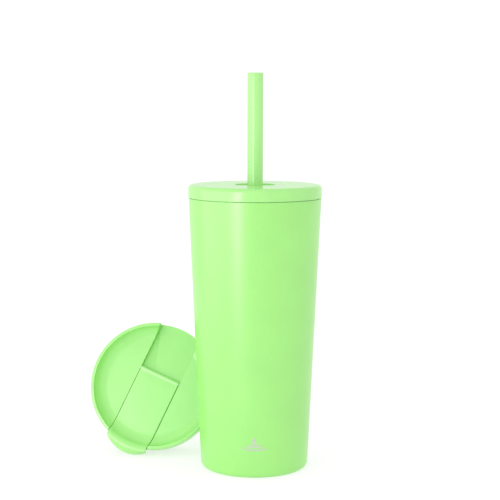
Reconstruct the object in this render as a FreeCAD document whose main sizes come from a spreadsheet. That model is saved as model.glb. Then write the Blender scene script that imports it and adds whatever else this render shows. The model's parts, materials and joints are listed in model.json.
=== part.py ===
import FreeCAD, Part
import Sketcher
import math
import operator
import os

# Insulated tumbler with a straw lid screwed in, and a spare flip lid that leans beside it.
#
# Frame: the origin is on the cup's axis at the plane it stands on, +Z is up, and -Y is the front.
# Lengths are millimetres and angles degrees.  The straw lid and the cup are modelled in place.
# The flip lid is modelled in its own frame, whose origin is on its axis at the flange's
# underside, with +Z out of the lid and +X towards the lip of its tab.  A Placement then
# leans it on the table.

DIMENSIONS = (
    ("cup", (
        ("shell_top", 191.3, "height at which the outer shell meets the lip"),
        ("base_radius", 38.0, "outside radius of the cone, carried down to the table"),
        ("rim_radius", 46.6, "outside radius of the cone at the lip"),
        ("base_corner", 5.4, "rounding between the cone and the foot"),
        ("steel_wall", 0.6, "thickness of the drawn steel"),
        ("foot_ring", 8.0, "width of the ring the cup stands on, with its corner"),
        ("foot_tall", 2.6, "height of the turned-up edge inside the foot ring"),
        ("liner_floor", 9.0, "height of the inside floor"),
        ("floor_inset", 4.8, "how much narrower the inside floor is than the base"),
        ("floor_corner", 6.0, "rounding between the inside floor and the wall"),
        ("neck_inset", 3.6, "how much narrower the neck is inside than the rim outside"),
        ("neck_deep", 17.8, "depth of the neck under the shell's top"),
        ("shoulder_tall", 4.0, "height of the shoulder under the neck"),
        ("shoulder_step", 2.1, "how far the shoulder steps in"),
        ("lip_round", 0.28, "rounding of the lip's edges"),
    )),
    ("cup base", (
        ("seal_hole", 1.0, "radius of the hole the air is drawn through"),
        ("dimple_radius", 3.0, "radius of the dimple that holds the glass"),
        ("dimple_slope", 0.8, "radial run of the dimple's side"),
        ("dimple_rise", 0.7, "height of the dimple"),
        ("glass_radius", 2.8, "radius of the glass bead"),
        ("glass_stub", 0.3, "depth of glass in the hole"),
        ("cover_gap", 0.4, "gap between the base cover and the foot ring"),
        ("cover_inset", 0.8, "height of the base cover over the table"),
        ("foil_thick", 0.15, "thickness of the copper foil"),
        ("foil_low", 16.0, "height of the foil's lower edge"),
        ("foil_drop", 9.5, "distance of the foil's upper edge under the shoulder"),
        ("getter_place", 14.0, "distance of the getter from the axis"),
        ("getter_radius", 5.0, "outside radius of the getter's cup"),
        ("getter_tall", 3.0, "height of the getter's cup"),
        ("getter_wall", 0.5, "wall of the getter's cup"),
        ("pellet_tall", 1.9, "height of the getter pellet"),
    )),
    ("lid thread and seal", (
        ("seat_gap", 0.5, "space between the lip and a closed lid's flange"),
        ("lid_proud", 0.4, "how far both lids reach past the cup's rim"),
        ("thread_pitch", 4.0, "rise of the thread in one turn"),
        ("thread_drop", 13.0, "depth at which the neck's thread starts under the shell's top"),
        ("thread_turns", 1.75, "turns of thread in the neck"),
        ("neck_thread_deep", 1.1, "how far the neck's thread stands in"),
        ("plug_turns", 1.25, "turns of thread on a plug"),
        ("plug_thread_deep", 1.4, "how far a plug's thread stands out"),
        ("thread_root", 1.9, "width of a thread at its root"),
        ("thread_crest", 0.9, "width of a thread at its crest"),
        ("thread_bite", 0.25, "depth by which a thread grows out of its wall"),
        ("plug_clear", 1.8, "gap between a plug's wall and the neck, where the threads meet"),
        ("plug_wall", 2.2, "thickness of a plug's wall and bottom"),
        ("plug_deep", 17.5, "depth of a plug under its flange"),
        ("bead_rise", 0.4, "height of the bead that keeps the seal on"),
        ("bead_wide", 0.6, "width of that bead"),
        ("seal_deep", 4.4, "depth of the silicone seal under the flange"),
        ("seal_inset", 1.1, "how far the seal's flange stays inside the cup's rim"),
        ("seal_gap", 0.05, "clearance all round the silicone seal"),
    )),
    ("straw lid", (
        ("skirt_tall", 8.85, "height of the straw lid over its flange"),
        ("skirt_wall", 2.4, "thickness of the straw lid's skirt"),
        ("cap_thick", 3.2, "thickness of the straw lid's top"),
        ("cap_round", 2.75, "rounding of the straw lid's top edge"),
        ("recess_radius", 14.2, "radius of the dished circle round the straw"),
        ("recess_deep", 1.0, "depth of that circle"),
        ("recess_round", 0.4, "rounding of its edge"),
        ("sleeve_wall", 1.7, "wall of the sleeve that guides the straw"),
        ("sleeve_gap", 0.8, "clearance of the sleeve round the straw"),
        ("flange_thick", 2.0, "thickness of the plug's flange"),
    )),
    ("straw and grommet", (
        ("straw_radius", 5.5, "outside radius of the straw"),
        ("straw_wall", 1.0, "wall of the straw"),
        ("straw_proud", 77.85, "length of straw over the straw lid"),
        ("straw_clear", 0.3, "gap between the straw and the inside floor"),
        ("straw_round", 0.45, "rounding of the straw's upper end"),
        ("notch_radius", 2.2, "radius of the notches in the straw's foot"),
        ("ring_proud", 1.2, "how far the ring that keeps the straw in stands out"),
        ("ring_height", 7.0, "height of the ring over the straw's foot"),
        ("ring_tall", 3.0, "height of the ring itself"),
        ("running_gap", 0.05, "radial clearance of a sliding fit"),
        ("grommet_wall", 1.45, "silicone round the straw"),
        ("grommet_lip", 1.6, "how far the grommet's upper flange reaches out"),
        ("grommet_lock", 0.9, "how far its lower flange reaches out"),
        ("grommet_thick", 1.0, "thickness of both flanges"),
    )),
    ("flip lid", (
        ("flip_tall", 11.0, "height of the flip lid over its flange"),
        ("rim_wall", 2.5, "thickness of the rim round the dish"),
        ("dish_floor", 4.5, "height of the dish's floor"),
        ("sweep_inset", 11.5, "distance from the lid's edge at which dish and tab start to rise"),
        ("sweep_radius", 10.0, "radius of the hollow rise of the dish and the tab"),
        ("dish_thick", 2.2, "thickness of the dish's floor"),
        ("rim_round", 0.9, "rounding of the rim's outer edge"),
        ("rim_round_in", 0.5, "rounding of the rim's inner edge"),
        ("channel_wide", 32.0, "width of the channel the tab lies in"),
        ("channel_wall", 2.2, "wall beside and under the channel"),
        ("tab_gap", 0.35, "clearance beside and under the tab"),
        ("tab_thick", 3.0, "thickness of the tab"),
        ("tab_proud", 0.6, "height of the closed tab over the dish's floor"),
        ("tab_past", 6.1, "how far the tab's end reaches past the lid's edge"),
        ("tab_end_radius", 24.0, "radius of the tab's end seen from the front"),
        ("sweep_angle", 58.0, "steepest slope of the tab"),
        ("hook_start", 0.3, "distance of the hook's inside beyond the top of the lip"),
        ("hook_low", 4.5, "height of the hook's lower edge"),
        ("hinge_place", 8.7, "distance of the hinge beyond the lid's axis"),
        ("barrel_radius", 1.7, "radius of the tab's hinge barrel"),
        ("pin_radius", 0.8, "radius of the hinge pin"),
        ("pin_reach", 1.8, "length of pin in each side of the channel"),
        ("drink_side", 1.6, "distance of the drinking hole from where the tab rises"),
        ("drink_radius", 6.3, "radius of the drinking hole"),
        ("drink_gap", 0.3, "clearance round the root of the stopper"),
        ("vent_place", 4.0, "distance of the air hole from the axis"),
        ("vent_radius", 1.6, "radius of the air hole"),
        ("stopper_taper", 0.8, "how much the stopper narrows to its end"),
        ("stopper_flange", 1.2, "how far the stopper's flange reaches past the hole"),
        ("stopper_gap", 0.1, "clearance under the stopper's flange"),
        ("stopper_deep", 1.8, "depth of the stopper in the hole"),
        ("tube_wall", 1.8, "wall of the tubes through the flip lid's plug"),
    )),
    ("where the flip lid leans", (
        ("flip_apart", -0.97, "distance of its axis from the cup's, less both radii"),
        ("flip_bearing", 30.85, "angle of that line behind the cup's left side"),
        ("flip_lean", 18.9, "angle by which it leans back"),
        ("flip_aside", 3.6, "angle by which it turns to the left"),
        ("flip_roll", 23.9, "angle of the tab from straight down"),
    )),
)


class Size:
    """A dimension that carries both its number and the sheet formula that drives it."""

    def __init__(self, number, formula):
        self.number = float(number)
        self.formula = formula

    def joined(self, other, sign, work, swapped=False):
        first, second = (size(other), self) if swapped else (self, size(other))
        formula = "(%s %s %s)" % (first.formula, sign, second.formula)
        return Size(work(first.number, second.number), formula)

    def __add__(self, other):
        return self.joined(other, "+", operator.add)

    def __radd__(self, other):
        return self.joined(other, "+", operator.add, True)

    def __sub__(self, other):
        return self.joined(other, "-", operator.sub)

    def __rsub__(self, other):
        return self.joined(other, "-", operator.sub, True)

    def __mul__(self, other):
        return self.joined(other, "*", operator.mul)

    def __rmul__(self, other):
        return self.joined(other, "*", operator.mul, True)

    def __truediv__(self, other):
        return self.joined(other, "/", operator.truediv)

    def __neg__(self):
        return self * -1.0


def size(value):
    """Return a Size for a plain number, or the Size itself."""
    if isinstance(value, Size):
        return value
    return Size(value, "(%.9f)" % value)


def root(value):
    """Square root of a Size."""
    return Size(math.sqrt(value.number), "sqrt(%s)" % value.formula)


def sine(angle):
    """Sine of a Size in degrees."""
    return Size(math.sin(math.radians(angle.number)), "sin(%s * 1deg)" % angle.formula)


def cosine(angle):
    """Cosine of a Size in degrees."""
    return Size(math.cos(math.radians(angle.number)), "cos(%s * 1deg)" % angle.formula)


def make_sheet(doc):
    """Write the driving dimensions into a spreadsheet and return them by name."""
    sheet = doc.addObject("Spreadsheet::Sheet", "sizes")
    found = {}
    row = 1
    for group, entries in DIMENSIONS:
        sheet.set("A%d" % row, group)
        row += 1
        for name, value, meaning in entries:
            sheet.set("A%d" % row, meaning)
            sheet.set("B%d" % row, "%g" % value)
            sheet.setAlias("B%d" % row, name)
            found[name] = Size(value, "sizes.%s" % name)
            row += 1
    doc.recompute()
    return found


doc = FreeCAD.newDocument("tumbler")
S = make_sheet(doc)
NODES = []

# Sizes that follow from the driving ones, so that fitting pieces keep their fit.
FOOT_HOLE = S["base_radius"] - S["foot_ring"]
FLOOR_RADIUS = S["base_radius"] - S["floor_inset"]
NECK_RADIUS = S["rim_radius"] - S["neck_inset"]
NECK_HEIGHT = S["shell_top"] - S["neck_deep"]
WAIST_RADIUS = NECK_RADIUS - S["shoulder_step"]
WAIST_HEIGHT = NECK_HEIGHT - S["shoulder_tall"]
LIP_TOP = S["shell_top"] + S["steel_wall"]
LID_SEAT = LIP_TOP + S["seat_gap"]
LID_RADIUS = S["rim_radius"] + S["lid_proud"]
THREAD_START = S["shell_top"] - S["thread_drop"]
PLUG_RADIUS = NECK_RADIUS - S["plug_clear"]
FOIL_HIGH = WAIST_HEIGHT - S["foil_drop"]


# ---------------------------------------------------------------- drawing helpers

def new_body(label):
    """Start the PartDesign body of one sub-part."""
    body = doc.addObject("PartDesign::Body", label)
    body.Label = label
    NODES.append(body)
    return body


def origin_plane(body, role):
    """Return one of the body's own origin planes."""
    for feature in body.Origin.OriginFeatures:
        if feature.Role == role:
            return feature
    raise ValueError("no plane " + role)


def arc_centre(start, end, radius, turn):
    """Centre of the shorter arc from start to end; turn is 1 anticlockwise and -1 clockwise."""
    chord = end - start
    half = chord.Length / 2
    rise = math.sqrt(max(radius * radius - half * half, 0.0))
    across = FreeCAD.Vector(-chord.y, chord.x, 0).normalize()
    return (start + end) * 0.5 + across * rise * turn


def pin_point(sketch, piece, end, x, y):
    """Fix one end of a piece of a sketch at two driven distances from the origin."""
    for kind, distance, axis in (("DistanceX", x, -2), ("DistanceY", y, -1)):
        if abs(distance.number) < 1e-9:
            sketch.addConstraint(Sketcher.Constraint("PointOnObject", piece, end, axis))
            continue
        row = sketch.addConstraint(
            Sketcher.Constraint(kind, -1, 1, piece, end, distance.number))
        sketch.setExpression("Constraints[%d]" % row, distance.formula)


def draw(body, name, role, outline, lift=None):
    """Draw a closed outline on one of the body's planes.

    Each entry is (x, y) for a straight run to that point, or (x, y, radius, turn)
    for an arc that arrives there.  Every point and radius is bound to the sheet.
    lift moves the sketch along its plane's normal.
    """
    sketch = body.newObject("Sketcher::SketchObject", name)
    sketch.AttachmentSupport = (origin_plane(body, role), [""])
    sketch.MapMode = "FlatFace"
    if lift is not None:
        sketch.AttachmentOffset = FreeCAD.Placement(
            FreeCAD.Vector(0, 0, lift.number), FreeCAD.Rotation())
        sketch.setExpression("AttachmentOffset.Base.z", lift.formula)
    steps = [tuple(size(value) for value in step[:3]) + step[3:] for step in outline]
    points = [FreeCAD.Vector(step[0].number, step[1].number, 0) for step in steps]
    joints = []
    for index, step in enumerate(steps):
        start, end = points[index - 1], points[index]
        if len(step) == 2:
            piece = sketch.addGeometry(Part.LineSegment(start, end))
            joints.append((piece, 1, 2))
            continue
        radius, turn = step[2], step[3]
        centre = arc_centre(start, end, radius.number, turn)
        circle = Part.Circle(centre, FreeCAD.Vector(0, 0, 1), radius.number)
        first, last = (start, end) if turn > 0 else (end, start)
        angles = [math.atan2(p.y - centre.y, p.x - centre.x) for p in (first, last)]
        piece = sketch.addGeometry(Part.ArcOfCircle(circle, angles[0], angles[1]))
        joints.append((piece, 1, 2) if turn > 0 else (piece, 2, 1))
        row = sketch.addConstraint(Sketcher.Constraint("Radius", piece, radius.number))
        sketch.setExpression("Constraints[%d]" % row, radius.formula)
    for index, (piece, start, end) in enumerate(joints):
        next_piece, next_start, _ = joints[(index + 1) % len(joints)]
        sketch.addConstraint(
            Sketcher.Constraint("Coincident", piece, end, next_piece, next_start))
        pin_point(sketch, piece, end, steps[index][0], steps[index][1])
    return sketch


def draw_circle(body, name, role, x, y, radius, lift=None):
    """Draw one driven circle."""
    sketch = body.newObject("Sketcher::SketchObject", name)
    sketch.AttachmentSupport = (origin_plane(body, role), [""])
    sketch.MapMode = "FlatFace"
    if lift is not None:
        sketch.AttachmentOffset = FreeCAD.Placement(
            FreeCAD.Vector(0, 0, lift.number), FreeCAD.Rotation())
        sketch.setExpression("AttachmentOffset.Base.z", lift.formula)
    x, y, radius = size(x), size(y), size(radius)
    centre = FreeCAD.Vector(x.number, y.number, 0)
    circle = sketch.addGeometry(Part.Circle(centre, FreeCAD.Vector(0, 0, 1), radius.number))
    pin_point(sketch, circle, 3, x, y)
    row = sketch.addConstraint(Sketcher.Constraint("Radius", circle, radius.number))
    sketch.setExpression("Constraints[%d]" % row, radius.formula)
    return sketch


def turn_profile(body, name, outline):
    """Revolve an outline of (radius, height) points about the body's Z axis."""
    sketch = draw(body, name + "_sketch", "XZ_Plane", outline)
    solid = body.newObject("PartDesign::Revolution", name)
    solid.Profile = sketch
    solid.ReferenceAxis = (sketch, ["V_Axis"])
    solid.Angle = 360
    doc.recompute()
    return solid


def pad(body, name, sketch, length, both_ways=False):
    """Extrude a sketch along its normal, or half the length each way."""
    solid = body.newObject("PartDesign::Pad", name)
    solid.Profile = sketch
    solid.Length = length.number
    solid.setExpression("Length", length.formula)
    solid.Midplane = both_ways
    doc.recompute()
    return solid


def cut_through(body, name, sketch, length):
    """Cut a sketch through the body, half the length each way, and check that it cut."""
    before = body.Shape.Volume
    hole = body.newObject("PartDesign::Pocket", name)
    hole.Profile = sketch
    hole.Length = length.number
    hole.setExpression("Length", length.formula)
    hole.Midplane = True
    doc.recompute()
    if not body.Shape.Volume < before - 1e-3:
        raise ValueError(name + " cut nothing")
    return hole


def round_edges(body, name, radius, circles):
    """Round the circular edges given as (radius, height) about the Z axis."""
    base = body.Tip
    names = []
    for index, edge in enumerate(base.Shape.Edges):
        if not isinstance(edge.Curve, Part.Circle):
            continue
        for ring, height in circles:
            same_ring = abs(edge.Curve.Radius - size(ring).number) < 1e-4
            if same_ring and abs(edge.Curve.Center.z - size(height).number) < 1e-4:
                names.append("Edge%d" % (index + 1))
    if not names:
        raise ValueError(name + " found no edge")
    rounding = body.newObject("PartDesign::Fillet", name)
    rounding.Base = (base, names)
    rounding.Radius = radius.number
    rounding.setExpression("Radius", radius.formula)
    doc.recompute()
    return rounding


def wind_thread(body, name, root_radius, crest_radius, start, turns):
    """Add a right-hand thread whose section is a trapezoid from root to crest."""
    bite = S["thread_bite"] if crest_radius.number < root_radius.number else -S["thread_bite"]
    grown = root_radius + bite
    root_half = S["thread_root"] / 2
    crest_half = S["thread_crest"] / 2
    outline = [(grown, start - root_half), (grown, start + root_half),
               (crest_radius, start + crest_half), (crest_radius, start - crest_half)]
    sketch = draw(body, name + "_sketch", "XZ_Plane", outline)
    thread = body.newObject("PartDesign::AdditiveHelix", name)
    thread.Profile = sketch
    thread.ReferenceAxis = (sketch, ["V_Axis"])
    thread.Mode = "pitch-turns-angle"
    thread.setExpression("Pitch", S["thread_pitch"].formula)
    thread.setExpression("Turns", turns.formula)
    thread.Angle = 0
    thread.LeftHanded = False
    thread.Reversed = False
    doc.recompute()
    return thread


# ---------------------------------------------------------------- the cup

def shell_radius(height):
    """Outside radius of the shell's cone at a height."""
    slope = (S["rim_radius"] - S["base_radius"]) / S["shell_top"]
    return S["base_radius"] + slope * height


def liner_radius(height):
    """Outside radius of the liner's cone at a height."""
    low = S["liner_floor"] - S["steel_wall"]
    slope = (WAIST_RADIUS - FLOOR_RADIUS) / (WAIST_HEIGHT - low)
    return FLOOR_RADIUS + S["steel_wall"] + slope * (height - low)


def make_outer_shell():
    """Tapered outer wall, turned in at the foot to a ring with a turned-up edge."""
    body = new_body("outer_shell")
    wall = S["steel_wall"]
    inner_corner = shell_radius(wall) - wall
    turn_profile(body, "shell_wall", [
        (FOOT_HOLE, 0),
        (S["base_radius"], 0),
        (S["rim_radius"], S["shell_top"]),
        (S["rim_radius"] - wall, S["shell_top"]),
        (inner_corner, wall),
        (FOOT_HOLE + wall, wall),
        (FOOT_HOLE + wall, S["foot_tall"]),
        (FOOT_HOLE, S["foot_tall"])])
    round_edges(body, "foot_outside", S["base_corner"], [(S["base_radius"], 0)])
    round_edges(body, "foot_inside", S["base_corner"] - wall, [(inner_corner, wall)])


def make_inner_liner():
    """Inner cup with a shoulder, a threaded neck and the lip that joins the shell."""
    body = new_body("inner_liner")
    wall = S["steel_wall"]
    low = S["liner_floor"] - wall
    turn_profile(body, "liner_wall", [
        (0, low),
        (FLOOR_RADIUS + wall, low),
        (WAIST_RADIUS + wall, WAIST_HEIGHT),
        (NECK_RADIUS + wall, NECK_HEIGHT),
        (NECK_RADIUS + wall, S["shell_top"]),
        (S["rim_radius"], S["shell_top"]),
        (S["rim_radius"], LIP_TOP),
        (NECK_RADIUS, LIP_TOP),
        (NECK_RADIUS, NECK_HEIGHT),
        (WAIST_RADIUS, WAIST_HEIGHT),
        (FLOOR_RADIUS, S["liner_floor"]),
        (0, S["liner_floor"])])
    round_edges(body, "floor_inside", S["floor_corner"],
                [(FLOOR_RADIUS, S["liner_floor"])])
    round_edges(body, "floor_outside", S["floor_corner"] + wall,
                [(FLOOR_RADIUS + wall, low)])
    round_edges(body, "lip", S["lip_round"],
                [(S["rim_radius"], LIP_TOP), (NECK_RADIUS, LIP_TOP)])
    wind_thread(body, "neck_thread", NECK_RADIUS,
                NECK_RADIUS - S["neck_thread_deep"], THREAD_START,
                S["thread_turns"])


def make_vacuum_base():
    """Steel plate welded in the foot, with a raised dimple round the evacuation hole."""
    wall = S["steel_wall"]
    low = S["foot_tall"] - wall
    raised = low + S["dimple_rise"]
    foot = S["dimple_radius"] + S["dimple_slope"]
    turn_profile(new_body("vacuum_base"), "base_plate", [
        (S["seal_hole"], raised),
        (S["dimple_radius"], raised),
        (foot, low),
        (FOOT_HOLE, low),
        (FOOT_HOLE, S["foot_tall"]),
        (foot, S["foot_tall"]),
        (S["dimple_radius"], raised + wall),
        (S["seal_hole"], raised + wall)])


def make_sealing_bead():
    """Glass bead melted into the dimple and the evacuation hole."""
    top = S["foot_tall"] - S["steel_wall"] + S["dimple_rise"]
    low = S["foot_tall"] - S["steel_wall"]
    turn_profile(new_body("sealing_bead"), "glass", [
        (0, low),
        (S["glass_radius"], low),
        (S["glass_radius"], top),
        (S["seal_hole"], top),
        (S["seal_hole"], top + S["glass_stub"]),
        (0, top + S["glass_stub"])])


def make_base_cover():
    """Shallow steel tray glued into the foot ring over the evacuation hole."""
    wall = S["steel_wall"]
    edge = FOOT_HOLE - S["cover_gap"]
    low = S["cover_inset"]
    turn_profile(new_body("base_cover"), "tray", [
        (0, low),
        (edge, low),
        (edge, S["foot_tall"] - wall),
        (edge - wall, S["foot_tall"] - wall),
        (edge - wall, low + wall),
        (0, low + wall)])


def make_copper_foil():
    """Copper wrapped round the liner inside the vacuum gap."""
    turn_profile(new_body("copper_foil"), "foil", [
        (liner_radius(S["foil_low"]), S["foil_low"]),
        (liner_radius(S["foil_low"]) + S["foil_thick"], S["foil_low"]),
        (liner_radius(FOIL_HIGH) + S["foil_thick"], FOIL_HIGH),
        (liner_radius(FOIL_HIGH), FOIL_HIGH)])


def driven_cylinder(name, radius, tall, x, z):
    """A Part cylinder standing at (x, 0, z), all driven by the sheet."""
    cylinder = doc.addObject("Part::Cylinder", name)
    cylinder.setExpression("Radius", radius.formula)
    cylinder.setExpression("Height", tall.formula)
    cylinder.setExpression("Placement.Base.x", x.formula)
    cylinder.setExpression("Placement.Base.z", z.formula)
    return cylinder


def make_getter():
    """Small steel cup on the base plate, and the pellet in it that soaks up stray gas."""
    place, wall = S["getter_place"], S["getter_wall"]
    outside = driven_cylinder("getter_outside", S["getter_radius"], S["getter_tall"],
                              place, S["foot_tall"])
    inside = driven_cylinder("getter_inside", S["getter_radius"] - wall, S["getter_tall"],
                             place, S["foot_tall"] + wall)
    holder = doc.addObject("Part::Cut", "getter_holder")
    holder.Base = outside
    holder.Tool = inside
    holder.Label = "getter_holder"
    pellet = driven_cylinder("getter_pellet", S["getter_radius"] - wall, S["pellet_tall"],
                             place, S["foot_tall"] + wall)
    pellet.Label = "getter_pellet"
    NODES.extend([holder, pellet])
    doc.recompute()


# ---------------------------------------------------------------- what both lids share

def plug_side(seat):
    """Outside of a plug's wall from its bottom to its flange, with the seal's bead."""
    outside = PLUG_RADIUS
    bead_top = seat - S["seal_deep"] - S["seal_gap"]
    bead_low = bead_top - S["bead_wide"]
    return [
        (outside, seat - S["plug_deep"]),
        (outside, bead_low - S["bead_rise"]),
        (outside + S["bead_rise"], bead_low),
        (outside + S["bead_rise"], bead_top),
        (outside, bead_top),
        (outside, seat)]


def plug_thread(body, seat):
    """Thread of a plug: it runs midway between two turns of the neck's thread."""
    drop = LID_SEAT - THREAD_START - S["thread_pitch"] / 2
    wind_thread(body, body.Label + "_thread", PLUG_RADIUS,
                PLUG_RADIUS + S["plug_thread_deep"], seat - drop, S["plug_turns"])


def make_seal(label, seat):
    """Silicone ring: a sleeve in the neck with a flange that lies on the cup's lip."""
    gap = S["seal_gap"]
    inside = PLUG_RADIUS + gap
    outside = NECK_RADIUS - gap
    flange_low = seat - S["seat_gap"] + gap
    flange = S["rim_radius"] - S["seal_inset"]
    body = new_body(label)
    turn_profile(body, label + "_ring", [
        (inside, seat - S["seal_deep"]),
        (outside, seat - S["seal_deep"]),
        (outside, flange_low),
        (flange, flange_low),
        (flange, seat - gap),
        (inside, seat - gap)])
    return body


# ---------------------------------------------------------------- the straw lid

CAP_TOP = LID_SEAT + S["skirt_tall"]
CAP_UNDER = CAP_TOP - S["cap_thick"]
RECESS_FLOOR = CAP_TOP - S["recess_deep"]
GROMMET_BORE = S["straw_radius"] + S["running_gap"]
GROMMET_NECK = GROMMET_BORE + S["grommet_wall"]
GROMMET_SEAT = RECESS_FLOOR - S["grommet_thick"] - S["running_gap"]
SLEEVE_TOP_RADIUS = GROMMET_NECK + S["grommet_lock"] + S["sleeve_gap"] / 2


def make_straw_lid_cap():
    """Round top with its skirt, the shallow circle and the grommet's seat."""
    body = new_body("straw_lid_cap")
    inside = LID_RADIUS - S["skirt_wall"]
    gap = S["running_gap"]
    turn_profile(body, "cap_wall", [
        (GROMMET_NECK + gap, CAP_UNDER),
        (inside, CAP_UNDER),
        (inside, LID_SEAT),
        (LID_RADIUS, LID_SEAT),
        (LID_RADIUS, CAP_TOP),
        (S["recess_radius"], CAP_TOP),
        (S["recess_radius"], RECESS_FLOOR),
        (GROMMET_NECK + S["grommet_lip"] + gap, RECESS_FLOOR),
        (GROMMET_NECK + S["grommet_lip"] + gap, GROMMET_SEAT),
        (GROMMET_NECK + gap, GROMMET_SEAT)])
    round_edges(body, "top_edge", S["cap_round"], [(LID_RADIUS, CAP_TOP)])
    round_edges(body, "recess_edge", S["recess_round"], [(S["recess_radius"], CAP_TOP)])


def make_straw_lid_plug():
    """Threaded plug welded under the cap, with the sleeve that guides the straw."""
    body = new_body("straw_lid_plug")
    seat = LID_SEAT
    low = seat - S["plug_deep"]
    flange = LID_RADIUS - S["skirt_wall"]
    wall = PLUG_RADIUS - S["plug_wall"]
    bore = S["straw_radius"] + S["sleeve_gap"]
    sleeve_outside = SLEEVE_TOP_RADIUS + S["sleeve_wall"]
    shelf = CAP_UNDER - S["running_gap"] * 2 - S["grommet_thick"] - S["sleeve_gap"]
    outline = [(bore, low)] + plug_side(seat) + [
        (flange, seat),
        (flange, seat + S["flange_thick"]),
        (wall, seat + S["flange_thick"]),
        (wall, low + S["plug_wall"]),
        (sleeve_outside, low + S["plug_wall"]),
        (sleeve_outside, CAP_UNDER),
        (SLEEVE_TOP_RADIUS, CAP_UNDER),
        (SLEEVE_TOP_RADIUS, shelf),
        (bore, shelf)]
    turn_profile(body, "straw_plug_wall", outline)
    plug_thread(body, seat)


def make_straw_grommet():
    """Silicone ring that holds the straw: a neck between two flanges."""
    gap = S["running_gap"]
    seat = GROMMET_SEAT + gap
    under = CAP_UNDER - gap
    turn_profile(new_body("straw_grommet"), "grommet_ring", [
        (GROMMET_BORE, under - S["grommet_thick"]),
        (GROMMET_NECK + S["grommet_lock"], under - S["grommet_thick"]),
        (GROMMET_NECK + S["grommet_lock"], under),
        (GROMMET_NECK, under),
        (GROMMET_NECK, seat),
        (GROMMET_NECK + S["grommet_lip"], seat),
        (GROMMET_NECK + S["grommet_lip"], seat + S["grommet_thick"]),
        (GROMMET_BORE, seat + S["grommet_thick"])])


def make_straw():
    """Straight stiff straw with a ring near its foot and two notches in its end."""
    body = new_body("straw")
    foot = S["liner_floor"] + S["straw_clear"]
    bore = S["straw_radius"] - S["straw_wall"]
    top = CAP_TOP + S["straw_proud"]
    ring_low = foot + S["ring_height"]
    ring = S["straw_radius"] + S["ring_proud"]
    turn_profile(body, "tube", [
        (bore, foot),
        (S["straw_radius"], foot),
        (S["straw_radius"], ring_low),
        (ring, ring_low + S["ring_proud"]),
        (ring, ring_low + S["ring_tall"]),
        (S["straw_radius"], ring_low + S["ring_tall"]),
        (S["straw_radius"], top),
        (bore, top)])
    round_edges(body, "drinking_end", S["straw_round"],
                [(S["straw_radius"], top), (bore, top)])
    notch = draw_circle(body, "notch_sketch", "XZ_Plane", 0, foot, S["notch_radius"])
    cut_through(body, "notch", notch, 4 * S["straw_radius"])


# ---------------------------------------------------------------- the flip lid

CHANNEL_HALF = S["channel_wide"] / 2
DISH_RADIUS = LID_RADIUS - S["rim_wall"]
TAB_TOP = S["dish_floor"] + S["tab_proud"]
TAB_UNDER = TAB_TOP - S["tab_thick"]
TAB_REACH = LID_RADIUS + S["tab_past"]
HINGE_HEIGHT = TAB_TOP - S["tab_thick"] / 2
CHANNEL_FLOOR = HINGE_HEIGHT - S["barrel_radius"] - S["tab_gap"]
TROUGH_UNDER = CHANNEL_FLOOR - S["channel_wall"]
PLUG_INSIDE = PLUG_RADIUS - S["plug_wall"]
SWEEP_START = LID_RADIUS - S["sweep_inset"]
SWEEP_END = SWEEP_START + S["sweep_radius"] * sine(S["sweep_angle"])
SWEEP_TOP = TAB_TOP + S["sweep_radius"] * (1 - cosine(S["sweep_angle"]))
LIP_RADIUS = (TAB_REACH - SWEEP_END) / (1 + sine(S["sweep_angle"]))
LIP_CENTRE = SWEEP_END + LIP_RADIUS * sine(S["sweep_angle"])
LIP_LEVEL = SWEEP_TOP - LIP_RADIUS * cosine(S["sweep_angle"])
HOLE_PLACE = {"drink": SWEEP_START - S["drink_radius"] - S["drink_side"],
              "vent": S["vent_place"]}


def under_sweep(depth):
    """End of the tab's hollow sweep, moved out by a depth under its upper face."""
    reach = S["sweep_radius"] + depth
    centre = TAB_TOP + S["sweep_radius"]
    return (SWEEP_START + reach * sine(S["sweep_angle"]),
            centre - reach * cosine(S["sweep_angle"]))


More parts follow.
